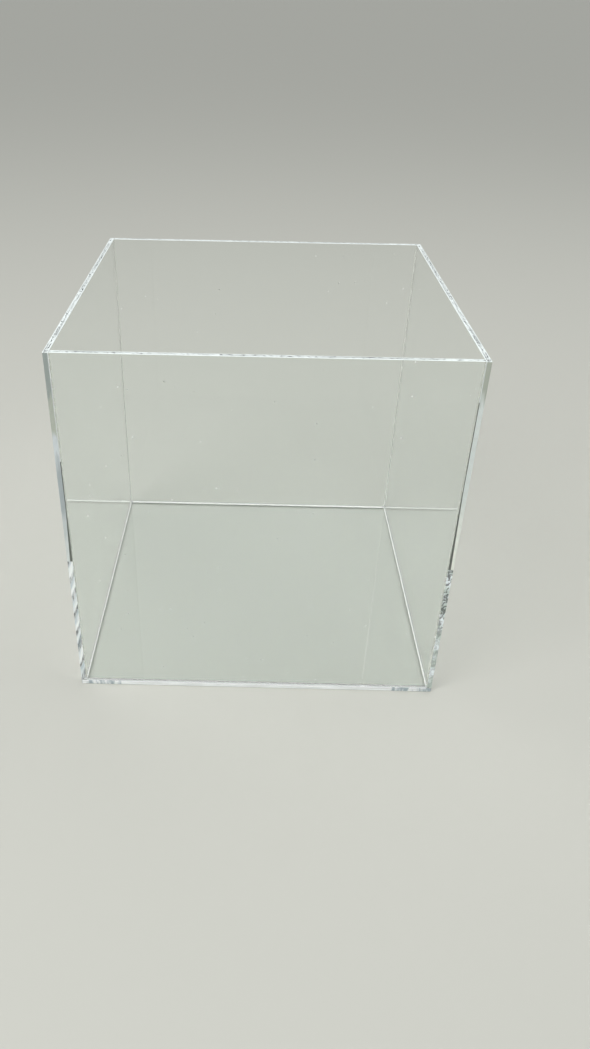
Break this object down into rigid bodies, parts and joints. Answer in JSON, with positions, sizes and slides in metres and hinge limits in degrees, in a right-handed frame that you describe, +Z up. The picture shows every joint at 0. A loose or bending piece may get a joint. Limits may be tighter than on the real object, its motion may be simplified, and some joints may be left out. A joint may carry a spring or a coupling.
{
  "type": "acrylic display cube",
  "caption": "Open-topped cube case of clear polished sheet, cemented edge to face, for showing or covering a small exhibit on a flat surface.",
  "frame": {"origin": "centre of the underside of the base panel, on the surface that the cube stands on", "axes": "+Z up through the open top, +X to the right, -Y towards the front; the side panels that run the full depth are at -X and +X"},
  "size_m": [0.3, 0.3, 0.3],
  "materials": {
    "clear_acrylic": "clear cast sheet, faces as cast, edges flame polished",
    "cured_cement": "clear solvent cement, glossy, with small trapped bubbles"
  },
  "bodies": {
    "root": {"base_panel": "clear_acrylic", "left_panel": "clear_acrylic", "right_panel": "clear_acrylic", "front_panel": "clear_acrylic", "back_panel": "clear_acrylic", "left_base_seam": "cured_cement", "right_base_seam": "cured_cement", "front_base_seam": "cured_cement", "back_base_seam": "cured_cement", "front_left_corner_seam": "cured_cement", "front_right_corner_seam": "cured_cement", "back_left_corner_seam": "cured_cement", "back_right_corner_seam": "cured_cement"}
  },
  "joints": []
}
